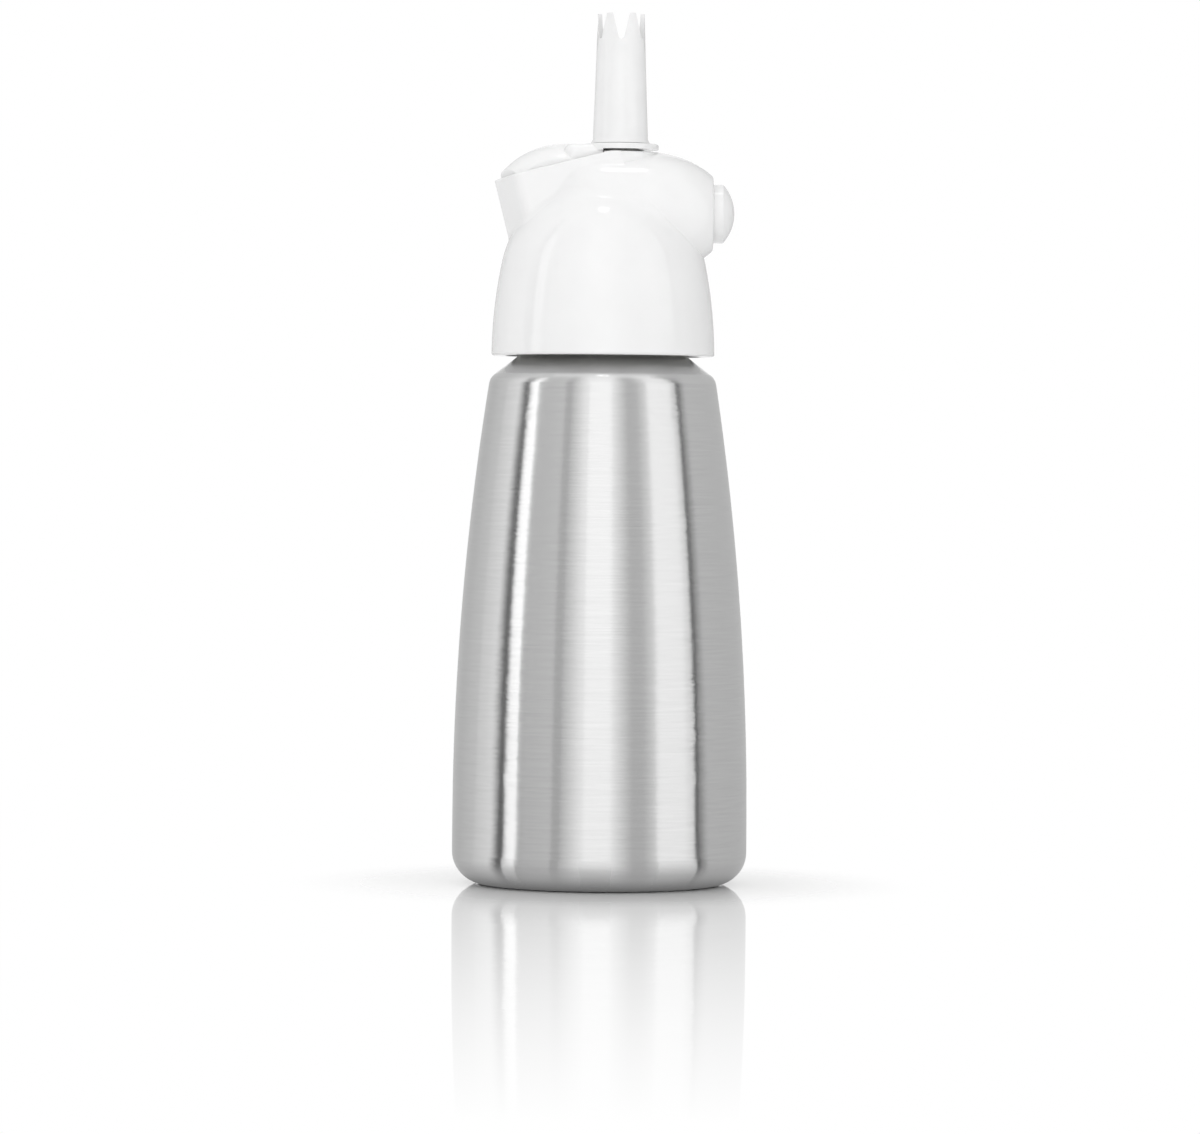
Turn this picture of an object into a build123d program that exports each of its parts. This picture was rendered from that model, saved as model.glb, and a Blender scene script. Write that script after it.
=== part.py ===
from build123d import *
import math
import os

# Cream whipper: a brushed metal bottle with a screwed-on white moulded head. The head carries a
# toothed nozzle on a lifting valve stem, a thumb lever that raises the stem, a sprung vent button
# and, on the back, the threaded nipple that takes a gas charger holder.
#
# Frame: millimetres, origin at the centre of the base on the standing surface, +Z up,
# -Y the front, +X towards the vent button.

# Gaps
seat_gap = 0.03  # between fixed pieces that fit into each other
running_gap = 0.05  # between a moving piece and what guides it
free_gap = 0.3  # between moving pieces that never touch

# Bottle
body_radius = 36.2
body_straight_top = 15.0
base_corner = 8.0
base_rise = 4.0
foot_inner_radius = 25.5
shoulder_radius = 27.7
shoulder_height = 124.25
shoulder_round = 3.5
neck_radius = 20.4
neck_root_height = 129.8
neck_root_round = 1.5
lip_height = 146.5
bottle_wall = 1.5

# Bell of the head
bell_rim_radius = 27.4
bell_rim_height = 129.6
bell_waist_radius = 24.9
bell_waist_height = 153.0
dome_height = 173.2
bell_rim_round = 0.6
bell_blend = 8.0
bell_bore_radius = 23.9
ceiling_height = 149.5

# Cross barrel of the head, a round body about an axis along X
barrel_height = 164.7
barrel_radius = 15.2
barrel_straight = 9.5
barrel_shoulder_length = 21.5
barrel_end = 26.8
barrel_end_round = 1.2

# Nozzle axis and the pedestal under the nozzle
nozzle_x = 3.9
pedestal_radius = 9.2
pedestal_round = 0.5
pedestal_height = 179.6

# Lever block: a prism that leans out to the left, its plan a strip with a pointed nose
block_lean = 14.0
block_top = 179.25
block_half_width = 9.5
block_root = -4.0
block_cheek_end = 22.4
block_nose = 27.9
block_depth = 21.0
block_cheek_round = 2.8
block_nose_round = 1.2
block_blend = 2.0
block_rim_round = 0.4
pocket_wall = 1.2
pocket_start = 6.5
pocket_depth = 3.6
channel_depth = 1.8

# Dispensing lever
lever_pin_x = -11.0
lever_pin_z = 170.5
lever_pin_radius = 1.5
lever_pin_front = -8.3
lever_pin_back = 9.2
lever_hole_end = 12.0
lug_radius = 3.0
lug_half_width = 4.0
lug_rise = 7.2
lug_slot_rise = 8.0
pad_gap = 0.5
pad_start = 7.0
pad_bottom = -1.5
pad_crown = 5.3
pad_crown_u = 13.8
pad_crown_curve = 20.0
pad_cross_radius = 9.9
pad_corner = 0.6
pad_edge_round = 0.5
arm_top = 181.4
arm_root = -9.9
arm_half_width = 7.5
arm_drop = 0.6
arm_corner = 2.5
arm_edge_round = 2.0
throat_end = -0.3
throat_bottom = 179.85
ring_bottom = 180.2
ring_top = 181.6
ring_radius = 9.4
ring_bore = 4.9
ring_slot = 1.0
ring_edge_round = 0.4

# Valve under the nozzle
stem_radius = 4.5
stem_bore = 3.2
stem_foot = 124.05
stem_top = 188.5
stem_collar_radius = 5.9
stem_collar_bottom = 156.5
stem_collar_top = 158.3
stem_foot_chamfer = 0.8
valve_tube_radius = 7.0
valve_tube_top = 155.9
valve_bore_top = 156.0
valve_flange_radius = 8.6
valve_flange_bottom = 145.6
valve_flange_top = 148.5
valve_foot = 120.0
valve_foot_round = 1.2
valve_floor = 122.5
valve_chamber_radius = 5.8
valve_chamber_top = 133.0
valve_port_width = 4.4
valve_port_bottom = 124.6
valve_port_top = 131.0
valve_seat_top = 124.0
stem_seal_radius = 6.0
stem_seal_bottom = 152.6
spring_bore_radius = 6.2
nut_radius = 7.2
nut_bottom = 171.0
nut_top = 179.3
nut_slot_width = 1.2
nut_slot_depth = 1.6

# Nozzle
nozzle_base = 181.8
nozzle_base_radius = 6.75
nozzle_flare = 0.7
nozzle_mid_height = 197.0
nozzle_mid_radius = 6.25
nozzle_tip_height = 213.5
nozzle_tip_radius = 5.75
nozzle_socket_top = 189.0
nozzle_bore_base = 4.3
nozzle_bore_tip = 4.7
notch_count = 6
notch_floor = 207.2
notch_floor_width = 1.4
notch_mouth_width = 4.2
notch_azimuth = 0.5

# Springs
valve_spring_wire = 0.9
valve_spring_radius = 5.35
valve_spring_turns = 4
vent_spring_wire = 0.7
vent_spring_radius = 4.2
vent_spring_turns = 3

# Vent valve behind the domed button, on the barrel's axis
button_radius = 7.2
button_inner_end = 23.6
button_ring_end = 29.2
button_top = 32.0
button_cup_radius = 5.9
button_cup_floor = 27.8
button_hub_radius = 2.6
button_hub_inner_end = 25.6
button_bore_radius = 7.5
button_bore_floor = 20.8
bush_radius = 4.2
bush_inner_end = 14.6
bush_flange_radius = 5.5
bush_flange_start = 21.6
bush_flange_end = 22.4
bush_bore = 1.8
vent_chamber_radius = 4.0
vent_chamber_end = 11.3
vent_stem_radius = 1.5
vent_stem_outer_end = 27.0
vent_head_radius = 2.9
vent_head_inner_end = 13.0
vent_head_outer_end = 13.8
vent_hole_x = 13.7
gas_hole_radius = 0.8

# Charger inlet on the back, an axis along +Y
inlet_height = 165.0
inlet_boss_radius = 11.2
inlet_boss_end = 25.5
inlet_boss_root = 8.0
inlet_boss_round = 0.8
nipple_radius = 10.0
nipple_end = 35.0
nipple_chamfer = 0.8
nipple_flange_radius = 10.8
nipple_flange_end = 26.7
nipple_spigot_radius = 7.0
nipple_spigot_end = 14.5
nipple_bore = 4.7
nipple_bore_floor = 26.4
charger_gasket_end = 27.6
inlet_chamber_end = 10.8
inlet_chamber_radius = 6.0
piercing_pin_radius = 1.3
piercing_pin_bore = 0.5
piercing_pin_start = 19.0
piercing_pin_cone = 30.0
piercing_pin_tip = 31.8
check_valve_radius = 5.0
check_valve_bore = 2.9
check_valve_start = 11.4
nipple_nose_radius = 2.8
nipple_nose_end = 11.8
inlet_hole_y = 12.6

# Threaded insert and gasket in the bell
insert_bore = 21.9
insert_bottom = 131.2
gasket_inner_radius = 15.5


def plane_across_x(x):
    """Plane square to X through the barrel's axis."""
    return Plane(origin=(x, 0, barrel_height), x_dir=(0, 1, 0), z_dir=(1, 0, 0))


def plane_across_y(y):
    """Plane square to Y through the inlet's axis."""
    return Plane(origin=(0, y, inlet_height), x_dir=(-1, 0, 0), z_dir=(0, 1, 0))


def plane_across_z(z):
    """Plane square to Z through the nozzle's axis."""
    return Plane(origin=(nozzle_x, 0, z))


def plane_at_pin(y):
    """Plane square to Y through the lever pin's axis."""
    return Plane(origin=(lever_pin_x, y, lever_pin_z), x_dir=(-1, 0, 0), z_dir=(0, 1, 0))


def ring(plane, length, outer, inner):
    """Plain ring of a given length that starts on a plane."""
    with BuildPart() as made:
        with BuildSketch(plane):
            Circle(outer)
            Circle(inner, mode=Mode.SUBTRACT)
        extrude(amount=length)
    return made


def drill(plane, length, radius):
    """Take a round hole out of the open part."""
    with BuildSketch(plane) as hole:
        Circle(radius)
    extrude(hole.sketch, amount=length, mode=Mode.SUBTRACT)


def coil(plane, radius, wire, length, turns):
    """Spring wound about a plane's normal, its path two arcs for each half turn."""
    rise = (length - wire) / turns
    half_turns = 2 * turns
    slope = math.atan2(rise, 2 * math.pi * radius)

    def on_helix(step):
        angle = math.pi * step
        place = Vector(radius * math.cos(angle), radius * math.sin(angle), wire / 2 + rise * step / 2)
        heading = Vector(
            -math.sin(angle) * math.cos(slope), math.cos(angle) * math.cos(slope), math.sin(slope)
        )
        return plane.from_local_coords(place), (plane.from_local_coords(heading) - plane.origin)

    with BuildPart() as made:
        with BuildLine() as path:
            for step in range(half_turns):
                start, start_way = on_helix(step)
                end, end_way = on_helix(step + 1)
                gap = end - start
                both = start_way + end_way
                spread = 2 * (1 - start_way.dot(end_way))
                along = gap.dot(both)
                reach = (math.sqrt(along**2 + spread * gap.dot(gap)) - along) / spread
                middle = (start + end + (start_way - end_way) * reach) * 0.5
                middle_way = gap - both * reach
                TangentArc(start, middle, tangent=start_way)
                TangentArc(middle, end, tangent=middle_way)
        with BuildSketch(Plane(origin=path.line @ 0, z_dir=path.line % 0)):
            Circle(wire / 2)
        sweep()
    marks = [path.line @ (mark / (48 * turns)) for mark in range(48 * turns + 1)]
    least = min((far - near).length for at, near in enumerate(marks) for far in marks[at + 24 :])
    print(f"spring of {turns} turns: least gap between turns {least - wire:.2f} mm")
    return made


# Bottle
with BuildPart() as bottle:
    with BuildSketch(Plane.XZ) as bottle_half:
        with BuildLine():
            base = TangentArc((0, base_rise), (foot_inner_radius, 0), tangent=(1, 0))
            foot = Line(base @ 1, (body_radius - base_corner, 0))
            corner = TangentArc(foot @ 1, (body_radius, base_corner), tangent=(1, 0))
            straight = Line(corner @ 1, (body_radius, body_straight_top))
            side = TangentArc(straight @ 1, (shoulder_radius, shoulder_height), tangent=(0, 1))
            cone = Line(side @ 1, (neck_radius, neck_root_height))
            neck = Line(cone @ 1, (neck_radius, lip_height))
            lip = Line(neck @ 1, (0, lip_height))
            Line(lip @ 1, base @ 0)
        make_face()
        fillet(bottle_half.vertices().sort_by_distance(side @ 1)[0], shoulder_round)
        fillet(bottle_half.vertices().sort_by_distance(cone @ 1)[0], neck_root_round)
    revolve(axis=Axis.Z)
    offset(amount=-bottle_wall, openings=bottle.faces().sort_by(Axis.Z)[-1])
    fillet(bottle.edges().group_by(Axis.Z)[-1], bottle_wall / 4)

# Head shell
lean = math.radians(block_lean)
block_plane = Plane(
    origin=(0, 0, block_top),
    x_dir=(-math.cos(lean), 0, -math.sin(lean)),
    z_dir=(-math.sin(lean), 0, math.cos(lean)),
)
barrel_axis = Axis((0, 0, barrel_height), (1, 0, 0))

with BuildSketch(block_plane) as block_plan:
    with BuildLine():
        Polyline(
            (block_root, block_half_width),
            (block_cheek_end, block_half_width),
            (block_nose, 0),
            (block_cheek_end, -block_half_width),
            (block_root, -block_half_width),
            close=True,
        )
    make_face()
    fillet(block_plan.vertices().group_by(Axis.X)[-1], block_nose_round)
    cheeks = block_plan.vertices().filter_by_position(Axis.X, block_cheek_end, block_cheek_end)
    fillet(cheeks, block_cheek_round)

with BuildSketch(block_plane) as pocket_plan:
    add(block_plan.sketch_local)
    offset(amount=-pocket_wall, mode=Mode.REPLACE)
    with Locations(((pocket_start + block_root) / 2, 0)):
        Rectangle(pocket_start - block_root, 2 * block_half_width, mode=Mode.SUBTRACT)

with BuildSketch(block_plane) as channel_plan:
    with Locations((pocket_start, 0)):
        Rectangle(
            pocket_start + throat_end + free_gap,
            2 * (block_half_width - pocket_wall),
            align=(Align.MAX, Align.CENTER),
        )

with BuildSketch(block_plane) as pad_plan:
    add(block_plan.sketch_local)
    offset(amount=-pocket_wall - pad_gap, mode=Mode.REPLACE)
    with Locations(((pad_start + block_root) / 2, 0)):
        Rectangle(pad_start - block_root, 2 * block_half_width, mode=Mode.SUBTRACT)
    fillet(pad_plan.vertices().group_by(Axis.X)[0], pad_corner)


def on_block_wall(edge):
    """Whether an edge is a crease between the block's walls and the rest of the head."""
    spot = block_plane.to_local_coords(edge.center())
    return spot.X > 0 and 1 - block_depth < spot.Z < -0.5


def on_block_top(edge):
    """Whether an edge is on the block's top."""
    return abs(block_plane.to_local_coords(edge.center()).Z) < 0.01


def on_pedestal_edge(edge):
    """Whether an edge is on the round top edge of the pedestal."""
    return edge.geom_type == GeomType.CIRCLE and abs(edge.center().Z - pedestal_height) < 0.01


with BuildPart() as head_shell:
    with BuildSketch(Plane.XZ):
        with BuildLine():
            dome = TangentArc((0, dome_height), (bell_waist_radius, bell_waist_height), tangent=(1, 0))
            skirt = TangentArc(dome @ 1, (bell_rim_radius, bell_rim_height), tangent=dome % 1)
            rim = Line(skirt @ 1, (0, bell_rim_height))
            Line(rim @ 1, dome @ 0)
        make_face()
    revolve(axis=Axis.Z)
    fillet(head_shell.edges().sort_by(Axis.Z)[0], bell_rim_round)
    with BuildSketch(Plane.XZ):
        with BuildLine():
            barrel_crest = barrel_height + barrel_radius
            heel = TangentArc((-barrel_radius, barrel_height), (0, barrel_crest), tangent=(0, 1))
            crest = Line(heel @ 1, (barrel_straight, barrel_crest))
            toe = TangentArc(crest @ 1, (barrel_straight + barrel_radius, barrel_height), tangent=(1, 0))
            Line(toe @ 1, heel @ 0)
        make_face()
    revolve(axis=barrel_axis)
    fillet(head_shell.edges(Select.NEW), bell_blend)
    with BuildSketch(Plane.XZ) as barrel_half:
        with BuildLine():
            end_angle = math.degrees(math.acos((barrel_end - barrel_straight) / barrel_shoulder_length))
            shoulder = EllipticalCenterArc(
                (barrel_straight, barrel_height),
                barrel_shoulder_length,
                barrel_radius,
                start_angle=end_angle,
                arc_size=90 - end_angle,
            )
            end_face = Line(shoulder @ 0, (barrel_end, barrel_height))
            Polyline(end_face @ 1, (0, barrel_height), heel @ 1, shoulder @ 1)
        make_face()
        fillet(barrel_half.vertices().sort_by_distance(end_face @ 0)[0], barrel_end_round)
    revolve(axis=barrel_axis)
    extrude(block_plan.sketch, amount=-block_depth)
    fillet(head_shell.edges(Select.NEW).filter_by(on_block_wall), block_blend)
    with BuildSketch(plane_across_z(barrel_height)):
        Circle(pedestal_radius)
    extrude(amount=pedestal_height + 2 - barrel_height)
    with BuildSketch(Plane.XY.offset(pedestal_height)):
        Rectangle(4 * barrel_radius, 4 * barrel_radius)
    extrude(amount=dome_height, mode=Mode.SUBTRACT)
    fillet(head_shell.edges().filter_by(on_pedestal_edge), pedestal_round)
    with BuildSketch(plane_across_y(inlet_boss_root)):
        Circle(inlet_boss_radius)
    extrude(amount=inlet_boss_end - inlet_boss_root)
    fillet(head_shell.edges().sort_by(Axis.Y)[-1], inlet_boss_round)
    fillet(head_shell.edges().filter_by(on_block_top).sort_by(Axis.X)[0], block_rim_round)
    with BuildSketch(Plane.XY.offset(bell_rim_height)):
        Circle(bell_bore_radius)
    extrude(amount=ceiling_height - bell_rim_height, mode=Mode.SUBTRACT)
    drill(plane_across_z(ceiling_height), valve_bore_top - ceiling_height, valve_tube_radius)
    drill(plane_across_z(valve_bore_top), nut_bottom - valve_bore_top, spring_bore_radius)
    drill(plane_across_z(nut_bottom), pedestal_height - nut_bottom, nut_radius)
    drill(plane_across_x(button_bore_floor), barrel_end - button_bore_floor, button_bore_radius)
    drill(plane_across_x(bush_inner_end), button_bore_floor - bush_inner_end, bush_radius)
    drill(plane_across_x(vent_chamber_end), bush_inner_end - vent_chamber_end, vent_chamber_radius)
    drill(Plane(origin=(vent_hole_x, 0, ceiling_height)), barrel_height - ceiling_height, gas_hole_radius)
    drill(plane_across_y(nipple_spigot_end), inlet_boss_end - nipple_spigot_end, nipple_spigot_radius)
    drill(plane_across_y(inlet_chamber_end), nipple_spigot_end - inlet_chamber_end, inlet_chamber_radius)
    drill(Plane(origin=(0, inlet_hole_y, ceiling_height)), inlet_height - ceiling_height, gas_hole_radius)
    extrude(pocket_plan.sketch, amount=pocket_depth, both=True, mode=Mode.SUBTRACT)
    with BuildSketch(Plane.XZ):
        with Locations((lever_pin_x, lever_pin_z)):
            Circle(lug_radius + pad_gap)
            Rectangle(2 * (lug_radius + pad_gap), lug_slot_rise, align=(Align.CENTER, Align.MIN))
    extrude(amount=lug_half_width + free_gap, both=True, mode=Mode.SUBTRACT)
    extrude(channel_plan.sketch, amount=channel_depth, both=True, mode=Mode.SUBTRACT)
    drill(plane_at_pin(lever_pin_front), lever_hole_end - lever_pin_front, lever_pin_radius + seat_gap)

# Threaded insert and gasket inside the bell
neck_ring = ring(
    Plane.XY.offset(insert_bottom),
    ceiling_height - seat_gap - insert_bottom,
    bell_bore_radius - seat_gap,
    insert_bore,
)
head_gasket = ring(
    Plane.XY.offset(lip_height + seat_gap),
    ceiling_height - lip_height - 2 * seat_gap,
    insert_bore - seat_gap,
    gasket_inner_radius,
)

# Valve body: a tube with a closed foot, four side ports and a flange under the head's ceiling
with BuildPart() as valve_body:
    with BuildSketch(plane_across_z(valve_foot)):
        Circle(valve_tube_radius - seat_gap)
    extrude(amount=valve_tube_top - valve_foot)
    fillet(valve_body.edges().sort_by(Axis.Z)[0], valve_foot_round)
    with BuildSketch(plane_across_z(valve_flange_bottom)):
        Circle(valve_flange_radius)
    extrude(amount=valve_flange_top - valve_flange_bottom)
    drill(plane_across_z(valve_floor), valve_chamber_top - valve_floor, valve_chamber_radius)
    drill(plane_across_z(valve_chamber_top), valve_tube_top - valve_chamber_top, stem_radius + running_gap)
    drill(plane_across_z(stem_seal_bottom), valve_tube_top - stem_seal_bottom, stem_seal_radius)
    port_height = valve_port_top - valve_port_bottom
    port_middle = (valve_port_top + valve_port_bottom) / 2
    for port_way in ((1, 0, 0), (0, 1, 0)):
        with BuildSketch(Plane(origin=(nozzle_x, 0, port_middle), x_dir=(0, 0, 1), z_dir=port_way)):
            SlotOverall(port_height, valve_port_width)
        extrude(amount=2 * valve_tube_radius, both=True, mode=Mode.SUBTRACT)

valve_body_seal = ring(
    plane_across_z(valve_flange_top + seat_gap),
    ceiling_height - valve_flange_top - 2 * seat_gap,
    valve_flange_radius - seat_gap,
    valve_tube_radius + seat_gap,
)

with BuildPart() as valve_seat:
    with BuildSketch(plane_across_z(valve_floor + seat_gap)):
        Circle(valve_chamber_radius - seat_gap)
    extrude(amount=valve_seat_top - valve_floor - seat_gap)

with BuildPart() as valve_stem:
    with BuildSketch(plane_across_z(stem_foot)):
        Circle(stem_radius)
    extrude(amount=stem_top - stem_foot)
    chamfer(valve_stem.edges().sort_by(Axis.Z)[0], stem_foot_chamfer)
    with BuildSketch(plane_across_z(stem_collar_bottom)):
        Circle(stem_collar_radius)
    extrude(amount=stem_collar_top - stem_collar_bottom)
    drill(plane_across_z(stem_foot), stem_top - stem_foot, stem_bore)

stem_seal = ring(
    plane_across_z(stem_seal_bottom + seat_gap),
    valve_tube_top - stem_seal_bottom - seat_gap,
    stem_seal_radius - seat_gap,
    stem_radius + running_gap,
)

with BuildPart() as valve_nut:
    with BuildSketch(plane_across_z(nut_bottom + seat_gap)):
        Circle(nut_radius - seat_gap)
        Circle(stem_radius + running_gap, mode=Mode.SUBTRACT)
    extrude(amount=nut_top - nut_bottom - seat_gap)
    with BuildSketch(plane_across_z(nut_top - nut_slot_depth)):
        Rectangle(2 * nut_slot_width, 3 * nut_radius)
    extrude(amount=nut_slot_depth, mode=Mode.SUBTRACT)

valve_spring = coil(
    plane_across_z(stem_collar_top + seat_gap),
    valve_spring_radius,
    valve_spring_wire,
    nut_bottom - stem_collar_top - seat_gap,
    valve_spring_turns,
)

# Dispensing lever: crowned pad, broad arm, ring round the stem and a lug on the pin
side_plane = Plane(origin=block_plane.origin, x_dir=block_plane.x_dir, z_dir=-block_plane.y_dir)
crown_axis_height = pad_crown - pad_cross_radius
crown_axis = Axis(side_plane.from_local_coords((0, crown_axis_height, 0)), block_plane.x_dir)


def skirt_height(x):
    """Height of the arm's lower edge, a little below the block's sloping top."""
    return block_top + x * math.tan(lean) - arm_drop


with BuildPart() as lever_arm:
    with BuildSketch(Plane.XZ):
        Polygon(
            (nozzle_x, arm_top),
            (nozzle_x, throat_bottom),
            (throat_end, throat_bottom),
            (throat_end, skirt_height(throat_end)),
            (arm_root, skirt_height(arm_root)),
            (arm_root, arm_top),
            align=None,
        )
    extrude(amount=arm_half_width, both=True)
    fillet(lever_arm.edges().filter_by(Axis.Z).group_by(Axis.X)[0], arm_corner)
    fillet(lever_arm.faces().sort_by(Axis.Z)[-1].edges().sort_by(Axis.X)[:-1], arm_edge_round)
    recess_floor = block_top - channel_depth
    drill(plane_across_z(recess_floor), throat_bottom - recess_floor, nut_radius + pad_gap)

with BuildPart() as lever_ring:
    with BuildSketch(plane_across_z(throat_bottom)):
        Circle(ring_radius)
    extrude(amount=ring_top - throat_bottom)
    fillet(lever_ring.edges().sort_by(Axis.Z)[-1], ring_edge_round)

with BuildPart() as dispensing_lever:
    extrude(pad_plan.sketch, amount=2 * pad_crown)
    extrude(pad_plan.sketch, amount=pad_bottom)
    with BuildSketch(side_plane):
        with BuildLine():
            arc_middle = pad_crown - pad_crown_curve
            near_rise = math.sqrt(pad_crown_curve**2 - pad_crown_u**2)
            far_reach = math.sqrt(pad_crown_curve**2 - (crown_axis_height - arc_middle) ** 2)
            near_end = (0, arc_middle + near_rise)
            far_end = (pad_crown_u + far_reach, crown_axis_height)
            ThreePointArc(near_end, (pad_crown_u, pad_crown), far_end)
            Polyline(far_end, (0, crown_axis_height), near_end)
        make_face()
    revolve(axis=crown_axis, mode=Mode.INTERSECT)
    fillet(dispensing_lever.edges().group_by(SortBy.LENGTH)[-1], pad_edge_round)
    add(lever_arm.part)
    add(lever_ring.part)
    with BuildSketch(Plane.XZ):
        with Locations((throat_end, ring_bottom)):
            Rectangle(2 * ring_radius, ring_bottom - throat_bottom, align=(Align.MIN, Align.MAX))
    extrude(amount=ring_radius, both=True, mode=Mode.SUBTRACT)
    with BuildSketch(Plane.XZ):
        with Locations((lever_pin_x, lever_pin_z)):
            Circle(lug_radius)
            Rectangle(2 * lug_radius, lug_rise, align=(Align.CENTER, Align.MIN))
    extrude(amount=lug_half_width, both=True)
    with BuildSketch(plane_across_z(throat_bottom)):
        with Locations((ring_slot / 2, 0)):
            SlotCenterToCenter(ring_slot, 2 * ring_bore)
    extrude(amount=nozzle_base - throat_bottom, mode=Mode.SUBTRACT)
    drill(plane_at_pin(-lug_half_width), 2 * lug_half_width, lever_pin_radius + running_gap)

with BuildPart() as lever_pin:
    with BuildSketch(plane_at_pin(lever_pin_front + seat_gap)):
        Circle(lever_pin_radius)
    extrude(amount=lever_pin_back - lever_pin_front - seat_gap)

# Nozzle: a tapering tube with pointed teeth
nozzle_plane = Plane(origin=(nozzle_x, 0, 0), x_dir=(1, 0, 0), z_dir=(0, -1, 0))
nozzle_axis = Axis((nozzle_x, 0, 0), (0, 0, 1))

with BuildPart() as nozzle:
    with BuildSketch(nozzle_plane):
        with BuildLine():
            flare_end = (nozzle_base_radius, nozzle_base + 2 * nozzle_flare)
            flare_start = (nozzle_base_radius + nozzle_flare, nozzle_base)
            tip = (nozzle_tip_radius, nozzle_tip_height)
            TangentArc(flare_end, flare_start, tangent=(0, -1))
            ThreePointArc(flare_end, (nozzle_mid_radius, nozzle_mid_height), tip)
            Polyline(
                tip,
                (nozzle_bore_tip, nozzle_tip_height),
                (nozzle_bore_base, nozzle_socket_top),
                (stem_radius + seat_gap, nozzle_socket_top),
                (stem_radius + seat_gap, nozzle_base),
                flare_start,
            )
        make_face()
    revolve(axis=nozzle_axis)
    for notch in range(notch_count // 2):
        turn = math.radians(notch_azimuth + notch * 360 / notch_count)
        notch_plane = Plane(
            origin=(nozzle_x, 0, notch_floor),
            x_dir=(math.cos(turn), math.sin(turn), 0),
            z_dir=(math.sin(turn), -math.cos(turn), 0),
        )
        with BuildSketch(notch_plane):
            notch_rise = nozzle_tip_height - notch_floor
            with BuildLine():
                floor_left = (-notch_floor_width / 2, notch_floor_width / 2)
                floor_right = (notch_floor_width / 2, notch_floor_width / 2)
                ThreePointArc(floor_left, (0, 0), floor_right)
                Polyline(
                    floor_right,
                    (notch_mouth_width / 2, notch_rise),
                    (-notch_mouth_width / 2, notch_rise),
                    floor_left,
                )
            make_face()
        extrude(amount=2 * nozzle_base_radius, both=True, mode=Mode.SUBTRACT)

# Charger inlet
with BuildPart() as charger_nipple:
    with BuildSketch(plane_across_y(nipple_nose_end)):
        Circle(nipple_nose_radius)
    extrude(amount=inlet_boss_end - nipple_nose_end)
    with BuildSketch(plane_across_y(nipple_spigot_end + seat_gap)):
        Circle(nipple_spigot_radius - seat_gap)
    extrude(amount=nipple_flange_end - nipple_spigot_end - seat_gap)
    with BuildSketch(plane_across_y(inlet_boss_end + seat_gap)):
        Circle(nipple_flange_radius)
    extrude(amount=nipple_flange_end - inlet_boss_end - seat_gap)
    with BuildSketch(plane_across_y(nipple_flange_end)):
        Circle(nipple_radius)
    extrude(amount=nipple_end - nipple_flange_end)
    chamfer(charger_nipple.edges().sort_by(Axis.Y)[-1], nipple_chamfer)
    drill(plane_across_y(nipple_bore_floor), nipple_end - nipple_bore_floor, nipple_bore)
    drill(plane_across_y(piercing_pin_start), nipple_bore_floor - piercing_pin_start, piercing_pin_radius)
    drill(plane_across_y(nipple_nose_end), piercing_pin_start - nipple_nose_end, gas_hole_radius)

with BuildPart() as piercing_pin:
    with BuildSketch(Plane.YZ):
        with BuildLine():
            pin_top = inlet_height + piercing_pin_radius - seat_gap
            pin_way = inlet_height + piercing_pin_bore
            Polyline(
                (piercing_pin_start + seat_gap, pin_way),
                (piercing_pin_start + seat_gap, pin_top),
                (piercing_pin_cone, pin_top),
                (piercing_pin_tip, pin_way),
                close=True,
            )
        make_face()
    revolve(axis=Axis((0, 0, inlet_height), (0, 1, 0)))

charger_gasket = ring(
    plane_across_y(nipple_bore_floor + seat_gap),
    charger_gasket_end - nipple_bore_floor - seat_gap,
    nipple_bore - seat_gap,
    piercing_pin_radius + seat_gap,
)
check_valve = ring(
    plane_across_y(check_valve_start),
    nipple_spigot_end - check_valve_start,
    check_valve_radius,
    check_valve_bore,
)

# Vent valve behind the domed button
with BuildPart() as vent_button:
    with BuildSketch(Plane.XZ):
        with BuildLine():
            rim_height = barrel_height + button_radius
            apex = (button_top, barrel_height)
            button_dome = TangentArc(apex, (button_ring_end, rim_height), tangent=(0, 1))
            button_side = Line(button_dome @ 1, (button_inner_end, rim_height))
            Polyline(button_side @ 1, (button_inner_end, barrel_height), apex)
        make_face()
    revolve(axis=barrel_axis)
    drill(plane_across_x(button_inner_end), button_cup_floor - button_inner_end, button_cup_radius)
    with BuildSketch(plane_across_x(button_hub_inner_end)):
        Circle(button_hub_radius)
    extrude(amount=button_cup_floor - button_hub_inner_end)
    hub_hole_length = vent_stem_outer_end + seat_gap - button_hub_inner_end
    drill(plane_across_x(button_hub_inner_end), hub_hole_length, vent_stem_radius + seat_gap)

with BuildPart() as vent_bush:
    with BuildSketch(plane_across_x(bush_inner_end + seat_gap)):
        Circle(bush_radius - seat_gap)
    extrude(amount=bush_flange_end - bush_inner_end - seat_gap)
    with BuildSketch(plane_across_x(bush_flange_start)):
        Circle(bush_flange_radius)
    extrude(amount=bush_flange_end - bush_flange_start)
    drill(plane_across_x(bush_inner_end), bush_flange_end - bush_inner_end, bush_bore)

vent_bush_seal = ring(
    plane_across_x(button_bore_floor + seat_gap),
    bush_flange_start - button_bore_floor - 2 * seat_gap,
    bush_flange_radius - seat_gap,
    bush_radius + seat_gap,
)

with BuildPart() as vent_stem:
    with BuildSketch(plane_across_x(vent_head_inner_end)):
        Circle(vent_stem_radius)
    extrude(amount=vent_stem_outer_end - vent_head_inner_end)
    with BuildSketch(plane_across_x(vent_head_inner_end)):
        Circle(vent_head_radius)
    extrude(amount=vent_head_outer_end - vent_head_inner_end)

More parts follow.
